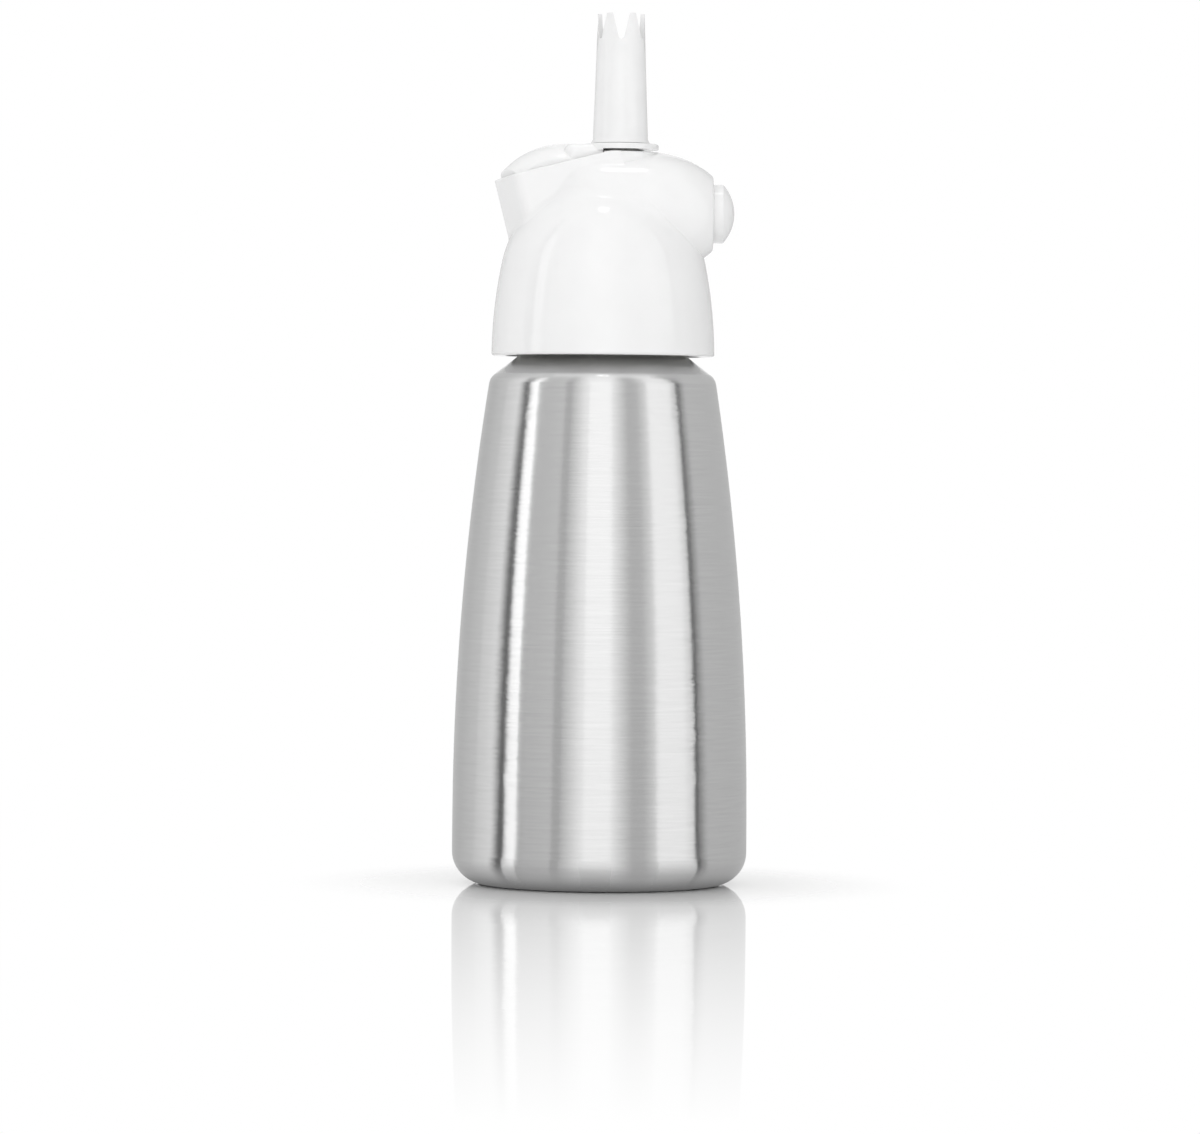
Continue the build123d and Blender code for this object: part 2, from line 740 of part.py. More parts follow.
vent_seal = ring(
    plane_across_x(vent_head_outer_end + seat_gap),
    bush_inner_end - vent_head_outer_end - seat_gap,
    vent_head_radius - seat_gap,
    vent_stem_radius + seat_gap,
)
vent_spring = coil(
    plane_across_x(bush_flange_end + seat_gap),
    vent_spring_radius,
    vent_spring_wire,
    button_cup_floor - bush_flange_end - 2 * seat_gap,
    vent_spring_turns,
)

pieces = {
    "bottle": bottle,
    "head_shell": head_shell,
    "neck_ring": neck_ring,
    "head_gasket": head_gasket,
    "valve_body": valve_body,
    "valve_body_seal": valve_body_seal,
    "valve_seat": valve_seat,
    "valve_stem": valve_stem,
    "stem_seal": stem_seal,
    "valve_nut": valve_nut,
    "valve_spring": valve_spring,
    "dispensing_lever": dispensing_lever,
    "lever_pin": lever_pin,
    "nozzle": nozzle,
    "charger_nipple": charger_nipple,
    "piercing_pin": piercing_pin,
    "charger_gasket": charger_gasket,
    "check_valve": check_valve,
    "vent_button": vent_button,
    "vent_bush": vent_bush,
    "vent_bush_seal": vent_bush_seal,
    "vent_stem": vent_stem,
    "vent_seal": vent_seal,
    "vent_spring": vent_spring,
}

os.makedirs("parts", exist_ok=True)
for name, piece in pieces.items():
    piece.part.label = name
    export_step(piece.part, f"parts/{name}.step")
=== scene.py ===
"""Looks of the cream whipper: finishes, threads, springs, studio and camera around its solids."""

from __future__ import annotations

import logging
import math
from abc import ABC, abstractmethod
from collections.abc import Iterable
from dataclasses import dataclass, field
from enum import Enum
from typing import Any

import bpy
from mathutils import Matrix, Vector

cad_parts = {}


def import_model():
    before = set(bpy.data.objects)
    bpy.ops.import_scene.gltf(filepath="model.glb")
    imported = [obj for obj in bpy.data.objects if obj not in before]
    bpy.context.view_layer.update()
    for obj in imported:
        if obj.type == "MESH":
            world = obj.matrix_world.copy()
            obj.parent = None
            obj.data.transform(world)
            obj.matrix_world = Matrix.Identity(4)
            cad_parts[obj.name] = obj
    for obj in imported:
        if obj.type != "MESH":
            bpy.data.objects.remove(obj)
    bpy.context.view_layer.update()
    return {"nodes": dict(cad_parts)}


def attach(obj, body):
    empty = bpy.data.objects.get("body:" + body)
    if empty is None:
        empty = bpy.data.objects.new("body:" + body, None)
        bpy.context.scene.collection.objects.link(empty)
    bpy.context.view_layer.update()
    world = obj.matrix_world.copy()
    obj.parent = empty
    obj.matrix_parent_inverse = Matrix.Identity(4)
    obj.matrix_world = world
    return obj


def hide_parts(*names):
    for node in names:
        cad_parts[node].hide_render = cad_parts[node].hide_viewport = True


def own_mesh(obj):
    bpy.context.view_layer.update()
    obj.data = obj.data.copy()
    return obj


log = logging.getLogger("cream_whipper")

MM = 0.001

# Most values of a noise lie between the first two of these, and nearly all below the third.
NOISE_LOW = 0.3
NOISE_HIGH = 0.7
NOISE_PEAK = 0.75

# Octaves of a noise: how much finer detail rides on its pattern.
LINE_DETAIL = 2.5
CLOUD_DETAIL = 3.0
RIPPLE_DETAIL = 1.0
GRAIN_DETAIL = 2.0

# Step in metres that is too small to move a place along a line.
FINEST = 1e-6

# Quarter turn that lays a stretched highlight across the lines.
ACROSS = 0.25


class Along(Enum):
    """Axis of the object that a round piece is turned or wound about."""

    X = "X"
    Y = "Y"
    Z = "Z"

    def frame(self) -> Matrix:
        """Give the turn that lays local Z along this axis.

        Returns:
            The turn.
        """
        turns = {
            Along.X: Matrix.Rotation(math.radians(90), 4, "Y"),
            Along.Y: Matrix.Rotation(math.radians(-90), 4, "X"),
            Along.Z: Matrix.Identity(4),
        }
        return turns[self]


def linear(colour: str) -> tuple[float, float, float, float]:
    """Turn an sRGB hex colour into the linear colour that shaders take.

    Args:
        colour: sRGB colour such as "#F4F4F2"

    Returns:
        Linear red, green and blue, and full opacity.
    """
    shares = [int(colour[at : at + 2], 16) / 255 for at in (1, 3, 5)]
    red, green, blue = (c / 12.92 if c <= 0.04045 else ((c + 0.055) / 1.055) ** 2.4 for c in shares)
    return red, green, blue, 1.0


def per_metre(size_mm: float) -> float:
    """Give the texture scale whose features have a size in millimetres."""
    return 1 / (size_mm * MM)


def add_node(
    tree: bpy.types.NodeTree,
    kind: str,
    settings: dict[str, Any] | None = None,
    inputs: dict[str | int, Any] | None = None,
) -> bpy.types.Node:
    """Add a node with its settings and links.

    Args:
        tree: node tree that takes the node
        kind: Blender's name of the node's type
        settings: property values by name
        inputs: a value, or an output to link from, for each input by name or place

    Returns:
        The new node.
    """
    node = tree.nodes.new(kind)
    for name, value in (settings or {}).items():
        setattr(node, name, value)
    for name, value in (inputs or {}).items():
        if isinstance(value, bpy.types.NodeSocket):
            tree.links.new(value, node.inputs[name])
        else:
            node.inputs[name].default_value = value
    return node


def empty_material(name: str) -> bpy.types.Material:
    """Make a material without nodes.

    Args:
        name: name of the material

    Returns:
        The material.
    """
    made = bpy.data.materials.new(name)
    made.use_nodes = True
    made.node_tree.nodes.clear()
    return made


def mesh_piece(
    name: str, points: list[Vector], faces: list[list[int]], smooth_angle: float = 35.0
) -> bpy.types.Object:
    """Make an object from points and faces, shaded smooth up to an angle.

    Args:
        name: name of the piece
        points: corners in metres
        faces: corner numbers of each face
        smooth_angle: largest angle in degrees between faces that shade as one

    Returns:
        The object, linked to the scene.
    """
    mesh = bpy.data.meshes.new(name)
    mesh.from_pydata(points, [], faces)
    mesh.validate()
    mesh.shade_smooth()
    mesh.set_sharp_from_angle(angle=math.radians(smooth_angle))
    piece = bpy.data.objects.new(name, mesh)
    bpy.context.scene.collection.objects.link(piece)
    return piece


def tube_faces(rings: int, sides: int) -> list[list[int]]:
    """Join rings of points into the faces of a tube with closed ends.

    Args:
        rings: number of rings
        sides: points in each ring

    Returns:
        Corner numbers of each face.
    """
    faces = []
    for ring in range(rings - 1):
        low = ring * sides
        high = low + sides
        for side in range(sides):
            beside = (side + 1) % sides
            faces.append([low + side, low + beside, high + beside, high + side])
    faces.append(list(range(sides - 1, -1, -1)))
    faces.append([(rings - 1) * sides + side for side in range(sides)])
    return faces


@dataclass(frozen=True)
class Finish(ABC):
    """A material and the way its surface was made.

    Attributes:
        name: name of the material
        colour: main colour, sRGB hex
        second: colour that the main one drifts towards, sRGB hex
        roughness: lowest and highest roughness over the surface
    """

    name: str
    colour: str
    second: str
    roughness: tuple[float, float]

    def material(self) -> bpy.types.Material:
        """Build the material, or give the one that was built before.

        Returns:
            The material.
        """
        made = bpy.data.materials.get(self.name)
        if made is None:
            made = empty_material(self.name)
            shader = self.surface(made.node_tree)
            add_node(made.node_tree, "ShaderNodeOutputMaterial", inputs={"Surface": shader.outputs[0]})
        return made

    @abstractmethod
    def surface(self, tree: bpy.types.NodeTree) -> bpy.types.Node:
        """Build the shader.

        Args:
            tree: the material's node tree

        Returns:
            The shader node.
        """

    def tint(self, tree: bpy.types.NodeTree, share: bpy.types.NodeSocket) -> bpy.types.NodeSocket:
        """Mix the two colours.

        Args:
            tree: the material's node tree
            share: output that says how much of the second colour there is

        Returns:
            The mixed colour's output.
        """
        ramp = add_node(tree, "ShaderNodeValToRGB", inputs={"Fac": share})
        first, last = ramp.color_ramp.elements
        first.position = NOISE_LOW
        first.color = linear(self.colour)
        last.position = NOISE_PEAK
        last.color = linear(self.second)
        return ramp.outputs["Color"]

    def rub(self, tree: bpy.types.NodeTree, share: bpy.types.NodeSocket) -> bpy.types.NodeSocket:
        """Spread the roughness between its lowest and highest.

        Args:
            tree: the material's node tree
            share: noise that runs over the surface

        Returns:
            The roughness output.
        """
        return self.spread(tree, share, *self.roughness)

    def spread(
        self, tree: bpy.types.NodeTree, share: bpy.types.NodeSocket, low: float, high: float
    ) -> bpy.types.NodeSocket:
        """Stretch a noise over a range.

        Args:
            tree: the material's node tree
            share: the noise's output
            low: start of the range
            high: end of the range

        Returns:
            The stretched output.
        """
        inputs = {
            "Value": share,
            "From Min": NOISE_LOW,
            "From Max": NOISE_HIGH,
            "To Min": low,
            "To Max": high,
        }
        return add_node(tree, "ShaderNodeMapRange", inputs=inputs).outputs["Result"]


@dataclass(frozen=True)
class LinedMetal(Finish):
    """Metal whose surface was brushed or turned in rings about an axis.

    Attributes:
        axis: axis of the rings
        centre: a point on that axis, in millimetres
        line_mm: spacing of the fine lines
        band_mm: spacing of the broader bands that many strokes leave
        stroke_mm: length of one stroke along the ring
        fleck_mm: length of the flecks in a stroke
        sway: how far a fleck leans along the ring, which makes a highlight's edge ragged
        depth_mm: depth of the lines
        anisotropic: how far a highlight stretches across the lines
    """

    axis: Along
    centre: tuple[float, float, float]
    line_mm: float
    band_mm: float
    stroke_mm: float
    fleck_mm: float
    sway: float
    depth_mm: float
    anisotropic: float

    def lines(
        self, tree: bpy.types.NodeTree, place: bpy.types.NodeSocket, spacing_mm: float, length_mm: float
    ) -> bpy.types.NodeSocket:
        """Draw strokes that run round the axis, each line with strokes of its own.

        Args:
            tree: the material's node tree
            place: point with local Z along the axis, the distance from the axis taken off it
            spacing_mm: spacing of the strokes
            length_mm: length of the strokes

        Returns:
            The output, a noise along each line.
        """
        squeeze = spacing_mm / length_mm
        step = (FINEST, FINEST, spacing_mm * MM)
        line = add_node(tree, "ShaderNodeVectorMath", {"operation": "SNAP"}, {0: place, 1: step})
        inputs = {"Vector": line.outputs[0], "Scale": (squeeze, squeeze, 1.0)}
        stretched = add_node(tree, "ShaderNodeMapping", {"vector_type": "POINT"}, inputs)
        inputs = {"Vector": stretched.outputs[0], "Scale": per_metre(spacing_mm), "Detail": LINE_DETAIL}
        return add_node(tree, "ShaderNodeTexNoise", inputs=inputs).outputs["Fac"]

    def surface(self, tree: bpy.types.NodeTree) -> bpy.types.Node:
        """Build metal with lines, bands and a highlight that stretches across them.

        Args:
            tree: the material's node tree

        Returns:
            The shader node.
        """
        spot = add_node(tree, "ShaderNodeTexCoord").outputs["Object"]
        turn = self.axis.frame().inverted().to_euler()
        centre = self.axis.frame().inverted() @ (Vector(self.centre) * MM)
        inputs = {"Vector": spot, "Location": -centre, "Rotation": turn}
        local = add_node(tree, "ShaderNodeMapping", {"vector_type": "POINT"}, inputs).outputs[0]
        flat = add_node(tree, "ShaderNodeVectorMath", {"operation": "MULTIPLY"}, {0: local, 1: (1, 1, 0)})
        reach = add_node(tree, "ShaderNodeVectorMath", {"operation": "LENGTH"}, {0: flat.outputs[0]})
        inward = add_node(tree, "ShaderNodeCombineXYZ", inputs={"Z": reach.outputs["Value"]})
        inputs = {0: local, 1: inward.outputs[0]}
        place = add_node(tree, "ShaderNodeVectorMath", {"operation": "SUBTRACT"}, inputs).outputs[0]
        fine = self.lines(tree, place, self.line_mm, self.stroke_mm)
        broad = self.lines(tree, place, self.band_mm, self.stroke_mm)
        flecks = self.lines(tree, place, self.line_mm, self.fleck_mm)
        inputs = {"Strength": 1.0, "Distance": self.depth_mm * MM, "Height": fine}
        bump = add_node(tree, "ShaderNodeBump", inputs=inputs)
        settings = {"direction_type": "RADIAL", "axis": self.axis.value}
        tangent = add_node(tree, "ShaderNodeTangent", settings).outputs[0]
        lean = self.spread(tree, flecks, -self.sway, self.sway)
        aside = add_node(tree, "ShaderNodeVectorMath", {"operation": "SCALE"}, {0: tangent, "Scale": lean})
        inputs = {0: bump.outputs[0], 1: aside.outputs[0]}
        leaning = add_node(tree, "ShaderNodeVectorMath", {"operation": "ADD"}, inputs)
        settings = {"operation": "NORMALIZE"}
        normal = add_node(tree, "ShaderNodeVectorMath", settings, {0: leaning.outputs[0]})
        inputs = {
            "Base Color": self.tint(tree, broad),
            "Metallic": 1.0,
            "Roughness": self.rub(tree, fine),
            "Anisotropic": self.anisotropic,
            "Anisotropic Rotation": ACROSS,
            "Tangent": tangent,
            "Normal": normal.outputs[0],
        }
        return add_node(tree, "ShaderNodeBsdfPrincipled", inputs=inputs)


@dataclass(frozen=True)
class Moulded(Finish):
    """Plastic or rubber straight from a mould.

    Attributes:
        ior: index of refraction
        cloud_mm: size of the faint clouds in the colour
        ripple_mm: size of the shrinkage ripple that bends reflections
        ripple_height_mm: height of that ripple
        grain_mm: size of the mould's grain
        grain_height_mm: height of that grain
    """

    ior: float
    cloud_mm: float
    ripple_mm: float
    ripple_height_mm: float
    grain_mm: float
    grain_height_mm: float

    def surface(self, tree: bpy.types.NodeTree) -> bpy.types.Node:
        """Build a dielectric with clouded colour, soft ripple and fine grain.

        Args:
            tree: the material's node tree

        Returns:
            The shader node.
        """
        spot = add_node(tree, "ShaderNodeTexCoord").outputs["Object"]
        patterns = (
            (self.cloud_mm, CLOUD_DETAIL),
            (self.ripple_mm, RIPPLE_DETAIL),
            (self.grain_mm, GRAIN_DETAIL),
        )
        noises = []
        for size_mm, detail in patterns:
            inputs = {"Vector": spot, "Scale": per_metre(size_mm), "Detail": detail}
            noises.append(add_node(tree, "ShaderNodeTexNoise", inputs=inputs).outputs["Fac"])
        cloud, ripple, grain = noises
        inputs = {"Strength": 1.0, "Distance": self.ripple_height_mm * MM, "Height": ripple}
        soft = add_node(tree, "ShaderNodeBump", inputs=inputs).outputs[0]
        inputs = {"Strength": 1.0, "Distance": self.grain_height_mm * MM, "Height": grain, "Normal": soft}
        bump = add_node(tree, "ShaderNodeBump", inputs=inputs)
        inputs = {
            "Base Color": self.tint(tree, cloud),
            "Roughness": self.rub(tree, grain),
            "IOR": self.ior,
            "Normal": bump.outputs[0],
        }
        return add_node(tree, "ShaderNodeBsdfPrincipled", inputs=inputs)


# Brushed aluminium: the brush ran round the bottle, so light spreads up and down into tall bands
# and the strokes themselves show as faint level lines. The real lines are 0.1 mm apart and are
# drawn wider, so that they show.
BRUSHED_ALUMINIUM = LinedMetal(
    name="brushed_aluminium",
    colour="#E4E4E4",
    second="#DEDEDE",
    roughness=(0.205, 0.25),
    axis=Along.Z,
    centre=(0.0, 0.0, 0.0),
    line_mm=0.24,
    band_mm=0.35,
    stroke_mm=14.0,
    fleck_mm=4.0,
    sway=0.009,
    depth_mm=0.0005,
    anisotropic=1.0,
)

# Gloss polypropylene: polished mould, clean white with a clear, slightly rippled gloss.
WHITE_POLYPROPYLENE = Moulded(
    name="white_gloss_polypropylene",
    colour="#F6F6F6",
    second="#F2F2F2",
    roughness=(0.07, 0.12),
    ior=1.49,
    cloud_mm=18.0,
    ripple_mm=7.0,
    ripple_height_mm=0.006,
    grain_mm=0.7,
    grain_height_mm=0.0006,
)

# Nozzle polypropylene: the same white from a plainer mould, so its gloss is softer.
NOZZLE_POLYPROPYLENE = Moulded(
    name="white_soft_polypropylene",
    colour="#F5F5F5",
    second="#F0F0F0",
    roughness=(0.2, 0.27),
    ior=1.49,
    cloud_mm=9.0,
    ripple_mm=4.0,
    ripple_height_mm=0.008,
    grain_mm=0.5,
    grain_height_mm=0.0003,
)

# Satin polypropylene: the insert and the valve, grained so that they grip and don't shine.
SATIN_POLYPROPYLENE = Moulded(
    name="satin_polypropylene",
    colour="#ECECE8",
    second="#E4E4E0",
    roughness=(0.42, 0.55),
    ior=1.49,
    cloud_mm=8.0,
    ripple_mm=3.0,
    ripple_height_mm=0.006,
    grain_mm=0.35,
    grain_height_mm=0.003,
)

# Silicone rubber: grey, matt and a little soft at the edges of its highlights.
SILICONE = Moulded(
    name="grey_silicone",
    colour="#CFCFCB",
    second="#C4C4C0",
    roughness=(0.5, 0.65),
    ior=1.41,
    cloud_mm=5.0,
    ripple_mm=2.0,
    ripple_height_mm=0.006,
    grain_mm=0.3,
    grain_height_mm=0.004,
)


def turned(
    name: str, colour: str, second: str, axis: Along, centre: tuple[float, float, float]
) -> LinedMetal:
    """Describe a small metal piece that was turned, ground or drawn: tight rings and a crisp highlight.

    The real rings are finer and are drawn wider, so that they show.

    Args:
        name: name of the material
        colour: main colour, sRGB hex
        second: colour of the duller rings, sRGB hex
        axis: axis of the rings
        centre: a point on that axis, in millimetres

    Returns:
        The finish.
    """
    return LinedMetal(
        name=name,
        colour=colour,
        second=second,
        roughness=(0.16, 0.26),
        axis=axis,
        centre=centre,
        line_mm=0.2,
        band_mm=0.8,
        stroke_mm=20.0,
        fleck_mm=8.0,
        sway=0.01,
        depth_mm=0.003,
        anisotropic=0.6,
    )


@dataclass(frozen=True)
class Thread:
    """A screw thread's ridge, wound right-handed round an axis. Sizes are in millimetres.

    Attributes:
        axis: axis of the thread
        start: centre of the thread's beginning
        radius: radius of the surface that carries the ridge
        height: height of the ridge, below zero where it stands inwards
        pitch: rise in one turn
        turns: number of turns
        root_width: width of the ridge at its root
        crest_width: width of the ridge at its crest
        sink: how deep the ridge's root is sunk into what carries it
        run_out: share of a turn over which the ridge fades at each end
        crest_drop: share of the height by which the crest's rounded edges lie lower
        edge_out: how far those edges stand outside the crest's width
        edge_in: how far the crest's flat stops short of its width
        steps: points along one turn
    """

    axis: Along
    start: tuple[float, float, float]
    radius: float
    height: float
    pitch: float
    turns: float
    root_width: float
    crest_width: float
    sink: float = 0.2
    run_out: float = 0.2
    crest_drop: float = 0.15
    edge_out: float = 0.06
    edge_in: float = 0.08
    steps: int = 72

    def build(self, name: str) -> bpy.types.Object:
        """Sweep the ridge's profile along its helix.

        Args:
            name: name of the piece

        Returns:
            The ridge.
        """
        place = Matrix.Translation(Vector(self.start) * MM) @ self.axis.frame()
        outward = math.copysign(1.0, self.height)
        points: list[Vector] = []
        rings = round(self.turns * self.steps) + 1
        for ring in range(rings):
            turn = ring / self.steps
            from_end = min(turn, self.turns - turn)
            rise = math.sin(math.pi / 2 * min(1.0, from_end / self.run_out))
            crest = self.radius + self.height * rise
            edge = crest - self.crest_drop * self.height * rise
            root = self.radius - outward * self.sink
            root_half = self.root_width / 2
            edge_half = self.crest_width / 2 + self.edge_out
            flat_half = self.crest_width / 2 - self.edge_in
            shape = (
                (root, -root_half),
                (edge, -edge_half),
                (crest, -flat_half),
                (crest, flat_half),
                (edge, edge_half),
                (root, root_half),
            )
            angle = 2 * math.pi * turn
            for reach, along in shape:
                spot = Vector((reach * math.cos(angle), reach * math.sin(angle), along + self.pitch * turn))
                points.append(place @ (spot * MM))
        faces = tube_faces(rings, len(points) // rings)
        if outward < 0:
            faces = [face[::-1] for face in faces]
        return mesh_piece(name, points, faces)


@dataclass(frozen=True)
class Spring:
    """A coil spring with closed ends. Sizes are in millimetres.

    Attributes:
        axis: axis of the coil
        start: centre of its first end
        radius: radius of the wire's middle line
        wire: diameter of the wire
        length: length of the fitted spring
        turns: number of turns, the closed ones included
        closed_turns: turns that lie close at each end
        close_pitch: rise of a closed turn, in diameters of the wire
        steps: points along one turn
        sides: points round the wire
    """

    axis: Along
    start: tuple[float, float, float]
    radius: float
    wire: float
    length: float
    turns: float
    closed_turns: float = 0.8
    close_pitch: float = 1.04
    steps: int = 48
    sides: int = 12

    def height(self, turn: float) -> float:
        """Give the wire's height at a turn: close at the ends, open between them.

        Args:
            turn: turns from the start

        Returns:
            Height of the wire's middle line above the start.
        """
        half = self.wire / 2
        close_rise = self.close_pitch * self.wire * self.closed_turns
        low_end = self.closed_turns
        high_end = self.turns - self.closed_turns
        open_rise = self.length - self.wire - 2 * close_rise
        if turn <= low_end:
            return half + close_rise * turn / self.closed_turns
        if turn >= high_end:
            return self.length - half - close_rise * (self.turns - turn) / self.closed_turns
        return half + close_rise + open_rise * (turn - low_end) / (high_end - low_end)

    def build(self, name: str) -> bpy.types.Object:
        """Sweep the wire along the coil.

        Args:
            name: name of the piece

        Returns:
            The spring.
        """
        place = Matrix.Translation(Vector(self.start) * MM) @ self.axis.frame()
        rings = round(self.turns * self.steps) + 1
        points: list[Vector] = []
        for ring in range(rings):
            turn = ring / self.steps
            angle = 2 * math.pi * turn
            out = Vector((math.cos(angle), math.sin(angle), 0.0))
            middle = out * self.radius + Vector((0, 0, self.height(turn)))
            for side in range(self.sides):
                round_wire = 2 * math.pi * side / self.sides
                offset = out * math.cos(round_wire) + Vector((0, 0, math.sin(round_wire)))
                points.append(place @ ((middle + offset * self.wire / 2) * MM))
        return mesh_piece(name, points, tube_faces(rings, self.sides))


def dress(nodes: dict[str, bpy.types.Object], finish: Finish, names: Iterable[str]) -> None:
    """Give solids a finish.

    Args:
        nodes: the solids by name
        finish: the finish
        names: names of the solids that get it
    """
    for name in names:
        mesh = nodes[name].data
        mesh.materials.clear()
        mesh.materials.append(finish.material())
        log.info("%s dressed in %s", name, finish.name)


def fit(piece: bpy.types.Object, finish: Finish, body: str) -> bpy.types.Object:
    """Finish a new piece and let it ride on a body.

    Args:
        piece: the piece, in place
        finish: its finish
        body: the body that it moves with

    Returns:
        The piece.
    """
    piece.data.materials.append(finish.material())
    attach(piece, body)
    log.info("%s made, on %s", piece.name, body)
    return piece


class SubAssembly(ABC):
    """A group of pieces that is built and dressed together."""

    @abstractmethod
    def build(self, nodes: dict[str, bpy.types.Object]) -> None:
        """Dress the group's solids and make its other pieces.

        Args:
            nodes: the solids by name
        """


@dataclass
class Bottle(SubAssembly):
    """The brushed bottle and the thread on its neck. Sizes are in millimetres.

    Attributes:
        thread: thread on the neck
    """

    thread: Thread = field(
        default_factory=lambda: Thread(
            axis=Along.Z,
            start=(0.0, 0.0, 133.2),
            radius=20.4,
            height=0.7,
            pitch=3.2,
            turns=3.3,
            root_width=1.9,
            crest_width=0.8,
        )
    )

    def build(self, nodes: dict[str, bpy.types.Object]) -> None:
        """Dress the bottle and wind the thread on its neck.

        Args:
            nodes: the solids by name
        """
        dress(nodes, BRUSHED_ALUMINIUM, ["bottle"])
        fit(self.thread.build("neck_thread"), BRUSHED_ALUMINIUM, "bottle")


@dataclass
class Head(SubAssembly):
    """The white moulded head with its threaded insert and gasket. Sizes are in millimetres.

    Attributes:
        thread: thread in the insert
    """

    thread: Thread = field(
        default_factory=lambda: Thread(
            axis=Along.Z,
            start=(0.0, 0.0, 132.9),
            radius=21.9,
            height=-0.65,
            pitch=3.2,
            turns=3.6,
            root_width=1.9,
            crest_width=0.8,
        )
    )

    def build(self, nodes: dict[str, bpy.types.Object]) -> None:
        """Dress the head and wind the thread in its insert.

        Args:
            nodes: the solids by name
        """
        dress(nodes, WHITE_POLYPROPYLENE, ["head_shell"])
        dress(nodes, SATIN_POLYPROPYLENE, ["neck_ring"])
        dress(nodes, SILICONE, ["head_gasket"])
        fit(self.thread.build("insert_thread"), SATIN_POLYPROPYLENE, "head")


@dataclass
class Valve(SubAssembly):
    """The lifting valve: lever, stem, nozzle, spring and seals. Sizes are in millimetres.

    Attributes:
        axis_x: place of the stem's axis along X
        pin_centre: middle of the lever's pin
        spring_bottom: height of the spring's lower end
        spring_top: height of its upper end
        spring_wire: diameter of its wire
        spring_radius: radius of the wire's middle line
        spring_turns: number of its turns
        lift: travel of the stem, not used here
    """

    axis_x: float = 3.9
    pin_centre: tuple[float, float, float] = (-11.0, 0.0, 170.5)
    spring_bottom: float = 158.35
    spring_top: float = 170.98
    spring_wire: float = 0.9
    spring_radius: float = 5.35
    spring_turns: float = 5.6
    lift: float = 2.05

    def build(self, nodes: dict[str, bpy.types.Object]) -> None:
        """Dress the valve's solids and wind its spring.

        Args:
            nodes: the solids by name
        """
        dress(nodes, WHITE_POLYPROPYLENE, ["dispensing_lever"])
        dress(nodes, NOZZLE_POLYPROPYLENE, ["nozzle"])
        dress(nodes, SATIN_POLYPROPYLENE, ["valve_body", "valve_stem", "valve_nut"])
        dress(nodes, SILICONE, ["valve_body_seal", "valve_seat", "stem_seal"])
        # Ground steel: bright and even, with a crisp highlight along the pin.
        pin_steel = turned("ground_pin_steel", "#D6D6D8", "#C9C9CC", Along.Y, self.pin_centre)
        dress(nodes, pin_steel, ["lever_pin"])
        length = self.spring_top - self.spring_bottom
        spring = Spring(
            axis=Along.Z,
            start=(self.axis_x, 0.0, self.spring_bottom),
            radius=self.spring_radius,
            wire=self.spring_wire,
            length=length,
            turns=self.spring_turns,
        )
        # Drawn spring wire: bright steel, slightly darker than the ground pins.
        wire = turned("drawn_valve_wire", "#D0D0D3", "#C2C2C6", Along.Z, (self.axis_x, 0.0, 0.0))
        coil = fit(spring.build("valve_spring_coil"), wire, "head")
        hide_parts("valve_spring")
        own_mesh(coil)


@dataclass
class Charger(SubAssembly):
    """The nipple on the back that takes a gas charger. Sizes are in millimetres.

    Attributes:
        height: height of the nipple's axis
        thread: thread on the nipple
    """

    height: float = 165.0
    thread: Thread = field(
        default_factory=lambda: Thread(
            axis=Along.Y,
            start=(0.0, 28.0, 165.0),
            radius=10.0,
            height=0.25,
            pitch=1.6,
            turns=3.6,
            root_width=1.1,
            crest_width=0.35,
        )
    )

    def build(self, nodes: dict[str, bpy.types.Object]) -> None:
        """Dress the nipple, its pin and seals, and wind its thread.

        Args:
            nodes: the solids by name
        """
        on_axis = (0.0, 0.0, self.height)
        # Nickel-plated brass: turned, then plated, so it is pale, slightly warm and mirrors in rings.
        plate = turned("nickel_plated_brass", "#E6E5E2", "#DBDAD6", Along.Y, on_axis)
        # Ground needle steel: bright and even, colder than the plate round it.
        steel = turned("ground_needle_steel", "#D6D6D8", "#C9C9CC", Along.Y, on_axis)
        dress(nodes, plate, ["charger_nipple"])
        dress(nodes, steel, ["piercing_pin"])
        dress(nodes, SILICONE, ["charger_gasket", "check_valve"])
        fit(self.thread.build("nipple_thread"), plate, "head")


